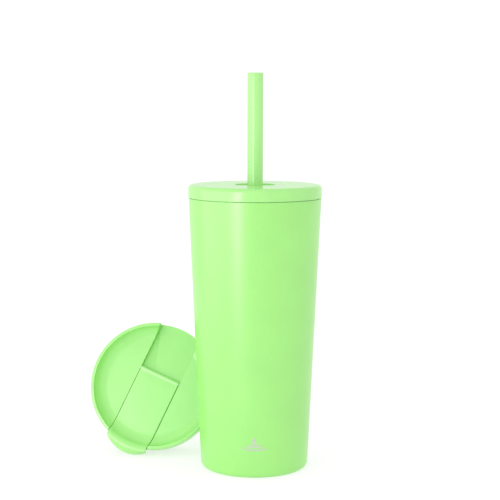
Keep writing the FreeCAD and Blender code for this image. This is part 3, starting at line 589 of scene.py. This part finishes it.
# %% [markdown]
# ## The tray under the foot
#
# The tray that covers the evacuation hole is the only part most people see of the cup's
# vacuum.  It is a shallow pressing with a raised ring, which stiffens it.

# %% base tray
def tray_outline():
    low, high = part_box("base_cover")
    edge, bottom, top = high.x, low.z, high.z
    corners = [
        (0, bottom, 0), (14 * MM, bottom, 1 * MM), (15 * MM, bottom + 0.25 * MM, 1 * MM),
        (21 * MM, bottom + 0.25 * MM, 1 * MM), (22 * MM, bottom, 1 * MM),
        (edge, bottom, 0.5 * MM), (edge, top, 0), (edge - SHEET, top, 0),
        (edge - SHEET, bottom + SHEET, 0.1 * MM), (0, bottom + SHEET, 0)]
    return rounded(corners, 5, closed=False)


finish_piece("base_tray", turned_mesh("base_tray", tray_outline(), closed=False),
             "cup", ["base_cover"], STEEL)

# %% [markdown]
# ## The straw lid
#
# The lid's top is a plain disc with a soft outer edge.  Round the straw lies a shallow circle,
# which catches a drop that runs down the straw.  The outline below is the moulding's section:
# over the top, down the skirt, and back underneath.

# %% straw lid cap
CAP_TOP = CAP_HIGH.z
CAP_LOW_EDGE = CAP_LOW.z
LID_RADIUS = CAP_HIGH.x
RECESS = 14.2 * MM
RECESS_FLOOR = CAP_TOP - 1.0 * MM


def cap_outline():
    seat_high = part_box("straw_grommet")[1]
    flange = seat_high.x + 0.05 * MM
    neck = flange - 1.6 * MM
    seat = seat_high.z - 1.05 * MM
    under = CAP_TOP - 3.2 * MM
    inside = LID_RADIUS - 2.4 * MM
    corners = [
        (neck, seat, 0), (flange, seat, 0), (flange, RECESS_FLOOR, 0.15 * MM),
        (RECESS, RECESS_FLOOR, 0.55 * MM), (RECESS, CAP_TOP, 0.40 * MM),
        (LID_RADIUS, CAP_TOP, 2.75 * MM), (LID_RADIUS, CAP_LOW_EDGE, 0.25 * MM),
        (inside, CAP_LOW_EDGE, 0.1 * MM), (inside, under, 0.5 * MM), (neck, under, 0)]
    return finer(rounded(corners, 12), 8 * MM)


finish_piece("lid_cap", turned_mesh("lid_cap", cap_outline(), 256),
             "straw_lid", ["straw_lid_cap"], LID_PLASTIC, 50.0)

# %% [markdown]
# ## Seals and grommet
#
# Both lids have the same silicone seal.  On the real one two thin fins bend against the steel
# neck, and a flat flange lies on the lip, where its edge shows as the dark line under the lid.
# The fins are drawn pressed flat, inside the space that the CAD ring holds.

# %% seals
SEAL_FLANGE = 45.5 * MM
SEAL_IN = 41.25 * MM
SEAL_OUT = 42.95 * MM


def seal_outline(low, flange_low, top):
    body_edge = SEAL_OUT - 0.7 * MM
    fin = 0.55 * MM
    corners = [(SEAL_IN, low, 0.3 * MM), (body_edge, low, 0.2 * MM)]
    for level in (low + 0.5 * MM, low + 1.9 * MM):
        corners += [(body_edge, level, 0.1 * MM), (SEAL_OUT, level + 0.25 * MM, 0.2 * MM),
                    (SEAL_OUT, level + 0.25 * MM + fin, 0.2 * MM),
                    (body_edge, level + 0.4 * MM + fin, 0.1 * MM)]
    corners += [(body_edge, flange_low, 0.1 * MM), (SEAL_FLANGE, flange_low, 0.12 * MM),
                (SEAL_FLANGE, top, 0.12 * MM), (SEAL_IN, top, 0.2 * MM)]
    return rounded(corners, 4)


seal_low, seal_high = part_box("straw_lid_seal")
FLANGE_THICK = seal_high.z - (LIP_TOP + 0.05 * MM)
finish_piece(
    "straw_lid_gasket",
    turned_mesh("straw_lid_gasket",
                seal_outline(seal_low.z, seal_high.z - FLANGE_THICK, seal_high.z)),
    "lid_seal", ["straw_lid_seal"], SILICONE)

flip_seal_rows = unlean(vertices_of("flip_lid_seal"))
flip_seal_low, flip_seal_top = flip_seal_rows[:, 2].min(), flip_seal_rows[:, 2].max()
finish_piece(
    "flip_lid_gasket",
    turned_mesh("flip_lid_gasket",
                seal_outline(flip_seal_low, flip_seal_top - FLANGE_THICK, flip_seal_top),
                place=lean),
    "flip_lid", ["flip_lid_seal"], SILICONE)


# %% grommet
STRAW_RADIUS = 5.5 * MM


def grommet_outline():
    low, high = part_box("straw_grommet")
    bore = STRAW_RADIUS + 0.05 * MM
    neck, lock = high.x - 1.6 * MM, high.x - 0.7 * MM
    corners = [
        (bore, low.z, 0.2 * MM), (lock, low.z, 0.3 * MM), (lock, low.z + 1 * MM, 0.2 * MM),
        (neck, low.z + 1 * MM, 0.1 * MM), (neck, high.z - 1 * MM, 0.1 * MM),
        (high.x, high.z - 1 * MM, 0.2 * MM), (high.x, high.z, 0.35 * MM),
        (bore + 0.1 * MM, high.z, 0.3 * MM)]
    return rounded(corners, 5)


finish_piece("grommet_ring", turned_mesh("grommet_ring", grommet_outline(), 128),
             "grommet", ["straw_grommet"], SILICONE)

# %% [markdown]
# ## The straw
#
# The straw is a tube with a ring that stops it coming out, and two notches in its foot so that
# it never seals itself against the floor of the cup.  The tube is a lathe grid whose lowest
# row is not level: its height follows the outline of a round notch twice in a turn.

# %% straw
STRAW_BORE = 4.5 * MM
NOTCH = 2.2 * MM
RING = 6.7 * MM


def straw_grid():
    """Lathe grid whose foot is raised by sqrt(notch^2 - x^2) where a notch crosses it."""
    foot, top = STRAW_LOW.z, STRAW_HIGH.z
    ring_low = foot + 7.0 * MM
    corners = [
        (STRAW_BORE, foot, 0), (STRAW_RADIUS, foot, 0),
        (STRAW_RADIUS, ring_low, 0.3 * MM), (RING, ring_low + 1.2 * MM, 0.4 * MM),
        (RING, ring_low + 3.0 * MM, 0.3 * MM), (STRAW_RADIUS, ring_low + 3.0 * MM, 0.2 * MM),
        (STRAW_RADIUS, top, 0.45 * MM), (STRAW_BORE, top, 0.45 * MM)]
    grid = turned_grid(finer(rounded(corners, 7), 6 * MM), 160)
    x, z = grid[..., 0], grid[..., 2]
    raised = foot + np.sqrt(np.clip(NOTCH ** 2 - x ** 2, 0, None))
    grid[..., 2] = np.maximum(z, raised)
    return grid


finish_piece("drinking_straw", mesh_from_grid("drinking_straw", straw_grid(), True),
             "straw", ["straw"], STRAW_PLASTIC)

# %% [markdown]
# ## The flip tab
#
# The tab is a strip with one long section: flat, swept up to the rim, and hooked over it.
# That section is a closed outline seen from the side, carried across the tab's width.  Near
# each side edge the outline shrinks a little, which rounds the edge, and the end of the hook
# is pulled back towards the corners, which bends it to the curve of the lid.

# %% tab section
DISH_FLOOR = 4.5 * MM
TAB_TOP = DISH_FLOOR + 0.6 * MM
TAB_THICK = 3.0 * MM
SWEEP_START = LID_RADIUS - 11.5 * MM
SWEEP_RADIUS = 10.0 * MM
SWEEP = np.radians(58.0)
HINGE_X = -8.7 * MM
BARREL = 1.7 * MM
HOOK_LOW = 4.5 * MM
TAB_END_RADIUS = 24.0 * MM
tab_rows = unlean(vertices_of("flip_tab"))
TAB_REACH = tab_rows[:, 0].max()
TAB_HALF = tab_rows[:, 1].max()
SWEEP_END = SWEEP_START + SWEEP_RADIUS * np.sin(SWEEP)
LIP_RADIUS = (TAB_REACH - SWEEP_END) / (1 + np.sin(SWEEP))
HOOK = SWEEP_END + LIP_RADIUS * np.sin(SWEEP) + 0.3 * MM


def arc(centre, radius, start, end, steps):
    """Points on a circle from one angle to another, both in radians."""
    angle = np.linspace(start, end, steps)
    return np.stack([centre[0] + radius * np.cos(angle), centre[1] + radius * np.sin(angle)], -1)


def tab_section():
    """Closed side view of the tab, anticlockwise from the hinge along its underside."""
    hollow = (SWEEP_START, TAB_TOP + SWEEP_RADIUS)
    join = np.array([SWEEP_END, hollow[1] - SWEEP_RADIUS * np.cos(SWEEP)])
    lip_centre = join + LIP_RADIUS * np.array([np.sin(SWEEP), -np.cos(SWEEP)])
    down, steep = -np.pi / 2, SWEEP - np.pi / 2
    hinge = (HINGE_X, TAB_TOP - TAB_THICK / 2)
    leave = np.arcsin(TAB_THICK / 2 / BARREL)
    beside = HINGE_X + BARREL
    under = TAB_TOP - TAB_THICK
    inner = LIP_RADIUS - TAB_THICK
    foot = np.array([
        [HOOK, lip_centre[1] + inner], [HOOK, HOOK_LOW + 0.4 * MM],
        [HOOK + 0.4 * MM, HOOK_LOW], [TAB_REACH - 0.9 * MM, HOOK_LOW],
        [TAB_REACH - 0.25 * MM, HOOK_LOW + 0.25 * MM], [TAB_REACH, HOOK_LOW + 0.9 * MM]])
    return np.vstack([
        arc(hinge, BARREL, 1.3 * np.pi, 2 * np.pi - leave, 7),
        finer(np.array([[beside, under], [SWEEP_START, under]]), 4 * MM, False),
        arc(hollow, SWEEP_RADIUS + TAB_THICK, down, steep, 14)[1:],
        arc(lip_centre, inner, np.pi / 2 + SWEEP, np.pi / 2, 8)[1:],
        foot,
        arc(lip_centre, LIP_RADIUS, 0, np.pi / 2 + SWEEP, 22),
        arc(hollow, SWEEP_RADIUS, steep, down, 14)[1:],
        finer(np.array([[SWEEP_START, TAB_TOP], [beside, TAB_TOP]]), 4 * MM, False)[1:],
        arc(hinge, BARREL, leave, 1.3 * np.pi, 12)[:-1]])


def inset(outline, depth):
    """Move each point of a closed outline inwards by a depth, along its normal."""
    ahead = np.roll(outline, -1, 0) - outline
    behind = outline - np.roll(outline, 1, 0)
    ahead /= np.maximum(np.linalg.norm(ahead, axis=1, keepdims=True), 1e-12)
    behind /= np.maximum(np.linalg.norm(behind, axis=1, keepdims=True), 1e-12)
    along = ahead + behind
    along /= np.maximum(np.linalg.norm(along, axis=1, keepdims=True), 1e-12)
    return outline + depth * np.stack([-along[:, 1], along[:, 0]], -1)


def smooth_step(value):
    """0 below 0, 1 above 1, and value * value * (3 - 2 * value) between."""
    held = np.clip(value, 0, 1)
    return held * held * (3 - 2 * held)


def tab_grid():
    """Section carried across the width, bent round the lid's axis and cut to its end arc.

    Where the tab rises, a place x of the section is a radius, so at the distance y from the
    middle it lies at sqrt(x^2 - y^2).  Near the hinge it stays at x, so the hinge is straight.
    """
    edge = 0.45 * MM
    section = tab_section()
    turn = np.linspace(0, np.pi / 2, 6)
    side = TAB_HALF - edge + edge * np.sin(turn)
    depth = edge * (1 - np.cos(turn))
    middle = np.linspace(-(TAB_HALF - edge), TAB_HALF - edge, 33)[1:-1]
    widths = np.concatenate([-side[::-1], middle, side])
    depths = np.concatenate([depth[::-1], np.zeros(len(middle)), depth])
    rows = np.stack([inset(section, d) for d in depths])
    x, z = rows[..., 0], rows[..., 1]
    y = np.broadcast_to(widths[:, None], x.shape)
    bent = np.sqrt(np.maximum(x * x - y * y, 0))
    x_bent = x + (bent - x) * smooth_step((x - 22 * MM) / (SWEEP_START - 22 * MM))
    end = TAB_REACH - TAB_END_RADIUS + np.sqrt(TAB_END_RADIUS ** 2 - y ** 2)
    spare = np.sqrt(TAB_REACH ** 2 - y ** 2) - end
    share = smooth_step((x - HOOK) / (TAB_REACH - HOOK))
    return np.stack([x_bent - spare * share, y, z], -1)


# %% tab piece
def side_faces(name, grid):
    """Grid of quads plus one many-sided face at each end, for a section that is not convex."""
    rows, columns = grid.shape[:2]
    ends = [list(range(columns))[::-1], list(range((rows - 1) * columns, rows * columns))]
    return mesh_of(name, grid, grid_quads(grid).tolist() + ends)


finish_piece("lid_tab", side_faces("lid_tab", lean(tab_grid())), "flip_tab",
             ["flip_tab"], TAB_PLASTIC, 40.0)

# %% [markdown]
# ## Stoppers under the tab
#
# Two silicone stoppers close the drinking hole and the air hole.  Each is turned about an axis
# of its own that stands in the leaning lid.

# %% stoppers
STOPPER_DEEP = 1.8 * MM


def stopper_mesh(name, node):
    """Flange and tapered peg about the stopper's own axis, in the flip lid's frame."""
    rows = unlean(vertices_of(node))
    low, high = rows.min(0), rows.max(0)
    place = (low + high) / 2
    wide = (high[0] - low[0]) / 2
    flange_low = low[2] + STOPPER_DEEP
    at_tip = rows[np.abs(rows[:, 2] - low[2]) < 1e-6]
    tip = (at_tip[:, 0].max() - at_tip[:, 0].min()) / 2
    root = wide - (1.2 * MM if wide > 4 * MM else 0.6 * MM)
    round_tip = min(0.5 * MM, tip * 0.4)
    corners = [(0, low[2], 0), (tip, low[2], round_tip), (root, flange_low, 0.05 * MM),
               (wide, flange_low, 0.12 * MM), (wide, high[2], 0), (0, high[2], 0)]
    grid = turned_grid(rounded(corners, 6, closed=False), 96)
    return mesh_from_grid(name, lean(grid + np.array([place[0], place[1], 0])))


for piece_name, node in (("drink_plug", "drink_stopper"), ("vent_plug", "vent_stopper")):
    finish_piece(piece_name, stopper_mesh(piece_name, node), "flip_tab", [node],
                 SILICONE)

# %% [markdown]
# ## The dish of the flip lid
#
# The flip lid's top is a bowl with a channel cut through it, so it is no surface of
# revolution.  Its shape comes from the CAD mesh: a copy has its loose triangles merged, its
# flat faces joined, and then a Bevel modifier puts a small radius on every sharp edge, as
# the mould would.

# %% dish
EDGE_RADIUS = 0.5 * MM
SHARP = 35.0


def softened_copy(name, node, body, material, width):
    """Merged copy of a CAD node whose edges sharper than SHARP degrees are bevelled."""
    mesh = frame["nodes"][node].data.copy()
    mesh.name = name
    work = bmesh.new()
    work.from_mesh(mesh)
    bmesh.ops.remove_doubles(work, verts=work.verts, dist=2e-6)
    bmesh.ops.dissolve_limit(work, angle_limit=np.radians(0.4), verts=work.verts,
                             edges=work.edges)
    work.to_mesh(mesh)
    work.free()
    smooth_below(mesh, SHARP)
    piece = place_piece(name, mesh, body, [node], material)
    bevel = piece.modifiers.new("edge_radius", "BEVEL")
    bevel.width, bevel.segments = width, 3
    bevel.limit_method, bevel.angle_limit = "ANGLE", np.radians(SHARP)
    bevel.harden_normals = True
    bevel.use_clamp_overlap = True
    return piece


softened_copy("lid_dish", "flip_lid_top", "flip_lid", LID_PLASTIC,
              EDGE_RADIUS)

# %% [markdown]
# ## CAD nodes that keep their shape
#
# Both threaded plugs, the hinge pin and the hidden parts of the vacuum are right as the CAD
# made them.  They only get a finish.

# %% finishes on CAD nodes
CAD_FINISHES = {
    "flip_lid_plug": PLUG_PLASTIC,
    "straw_lid_plug": PLUG_PLASTIC, "hinge_pin": STEEL, "vacuum_base": STEEL,
    "getter_holder": STEEL, "getter_pellet": GETTER, "sealing_bead": SOLDER_GLASS,
    "copper_foil": COPPER}
for node, material in CAD_FINISHES.items():
    mesh = frame["nodes"][node].data
    mesh.materials.clear()
    mesh.materials.append(material)
print("finished", len(CAD_FINISHES), "CAD nodes")

# %% [markdown]
# ## The etched mark
#
# Near the foot the coat is burnt off by a laser, and bare steel shows.  The mark here is a
# plain drop over three ripples.  Each stroke is a thin strip laid on the cone: a curve in the
# plane of the mark, given a width that fades at its ends, and wrapped round the cup.

# %% etched mark
MARK_HEIGHT = 24.6 * MM
MARK_LIFT = 0.06 * MM
STROKE = 0.95 * MM
RIPPLE_END = 1.25


def on_cone(across, up):
    """Place marks given by distance round the front of the cup and by height on the cone."""
    radius = FOOT + (RIM - FOOT) * up / SHELL_TOP
    angle = across / radius
    return radius, angle, up


def stroke(points, widths):
    """Closed thin strip: a cross-section of four corners carried along a curve."""
    along = np.gradient(points, axis=0)
    along /= np.linalg.norm(along, axis=1, keepdims=True)
    side = np.stack([-along[:, 1], along[:, 0]], -1) * widths[:, None] / 2
    corners = []
    for sign, lift in ((1, MARK_LIFT), (-1, MARK_LIFT), (-1, -MARK_LIFT), (1, -MARK_LIFT)):
        flat = points + sign * side
        radius, angle, up = on_cone(flat[:, 0], flat[:, 1])
        radius = radius + lift
        corners.append(np.stack([radius * np.sin(angle), -radius * np.cos(angle), up], -1))
    return np.stack(corners, axis=1)


def ripple(half_width, drop, level, steps=49):
    """Lower part of a flat ellipse: (w sin t, level - d cos t), thin at both ends."""
    t = np.linspace(-RIPPLE_END, RIPPLE_END, steps)
    points = np.stack([half_width * np.sin(t), level - drop * np.cos(t)], -1)
    widths = STROKE * np.sqrt(np.clip(1.02 - (t / RIPPLE_END) ** 2, 0, 1))
    return stroke(points, widths)


def drop_shape(level, tall, steps=41):
    """A drop: half width 0.62 * tall * sqrt(s) * (1 - s)^0.9, s from 0 at its foot to 1."""
    s = np.linspace(0.0, 1.0, steps)
    half = 0.62 * tall * np.sqrt(np.clip(s, 0, 1)) * (1 - s) ** 0.9
    points = np.stack([np.zeros(steps), level + tall * s], -1)
    return stroke(points, np.maximum(2 * half, 0.02 * MM))


def capped(grid):
    """Close both ends of a tube-like grid with its own middle point."""
    first = np.broadcast_to(grid[0].mean(0), grid[0].shape)
    last = np.broadcast_to(grid[-1].mean(0), grid[-1].shape)
    return np.concatenate([first[None], grid, last[None]])


strokes = [capped(line) for line in (
    ripple(9.9 * MM, 2.5 * MM, MARK_HEIGHT - 1.6 * MM),
    ripple(6.7 * MM, 1.7 * MM, MARK_HEIGHT - 0.4 * MM),
    ripple(3.6 * MM, 1.0 * MM, MARK_HEIGHT + 0.7 * MM),
    drop_shape(MARK_HEIGHT + 0.6 * MM, 4.4 * MM))]
mark_points = np.vstack([grid.reshape(-1, 3) for grid in strokes])
firsts = np.cumsum([0] + [grid[..., 0].size for grid in strokes[:-1]])
mark_faces = np.vstack([grid_quads(grid) + first for grid, first in zip(strokes, firsts)])
finish_piece("etched_mark", mesh_of("etched_mark", mark_points, mark_faces.tolist()),
             "cup", [], STEEL)

# %% [markdown]
# ## Floor and light
#
# The set is as plain as can be: a white floor, an even white sky, a low soft light on the
# left that turns that side of the cup paler, and a narrow one that lays a soft stripe down it.
# The floor glows a little, like the lit table that such objects are shown on, so that the
# shadows under the cup and the lid stay faint.

# %% floor
GLOW = 0.62


def matt_white():
    material, shader, place = new_material(
        "studio_floor", IOR=1.2, Emission_Color=(1, 1, 1, 1), Emission_Strength=GLOW)
    paper = place.noise(0.004, 2.0)
    feed(shader, Base_Color=paper.mix((0.41, 0.41, 0.41, 1), (0.43, 0.43, 0.43, 1)),
         Roughness=0.85 + paper * 0.1)
    return material


FLOOR_HALF = 3.0
floor_mesh = bpy.data.meshes.new("studio_floor")
floor_mesh.from_pydata([(-FLOOR_HALF, -FLOOR_HALF, 0), (FLOOR_HALF, -FLOOR_HALF, 0),
                        (FLOOR_HALF, FLOOR_HALF, 0), (-FLOOR_HALF, FLOOR_HALF, 0)],
                       [], [(0, 1, 2, 3)])
floor_mesh.materials.append(matt_white())
floor = bpy.data.objects.new("studio_floor", floor_mesh)
bpy.context.scene.collection.objects.link(floor)
print("floor", 2 * FLOOR_HALF, "m wide")

# %% light
SKY = 1.05
# name, place, the point it faces, width and height in metres, power in watts
LIGHTS = (("key", (-0.58, -0.25, 0.13), (0, 0, 0.08), 0.9, 0.46, 1.25),
          ("stripe", (-0.33, -0.61, 0.10), (0, 0, 0.04), 0.16, 0.5, 1.1))


def soft_box(name, place, aim, width, height, power):
    """A rectangular light at a place, turned towards a point."""
    data = bpy.data.lights.new(name, "AREA")
    data.shape = "RECTANGLE"
    data.size, data.size_y, data.energy = width, height, power
    light = bpy.data.objects.new(name, data)
    bpy.context.scene.collection.objects.link(light)
    light.location = place
    light.rotation_euler = (Vector(aim) - Vector(place)).to_track_quat("-Z", "Y").to_euler()
    return light


world = bpy.data.worlds.new("studio")
world.use_nodes = True
world.node_tree.nodes["Background"].inputs["Color"].default_value = (1, 1, 1, 1)
world.node_tree.nodes["Background"].inputs["Strength"].default_value = SKY
bpy.context.scene.world = world
for light in LIGHTS:
    soft_box(*light)
bpy.context.scene.view_settings.view_transform = "Standard"
bpy.context.scene.view_settings.look = "None"
print("lit by", len(LIGHTS), "soft lights and the sky")
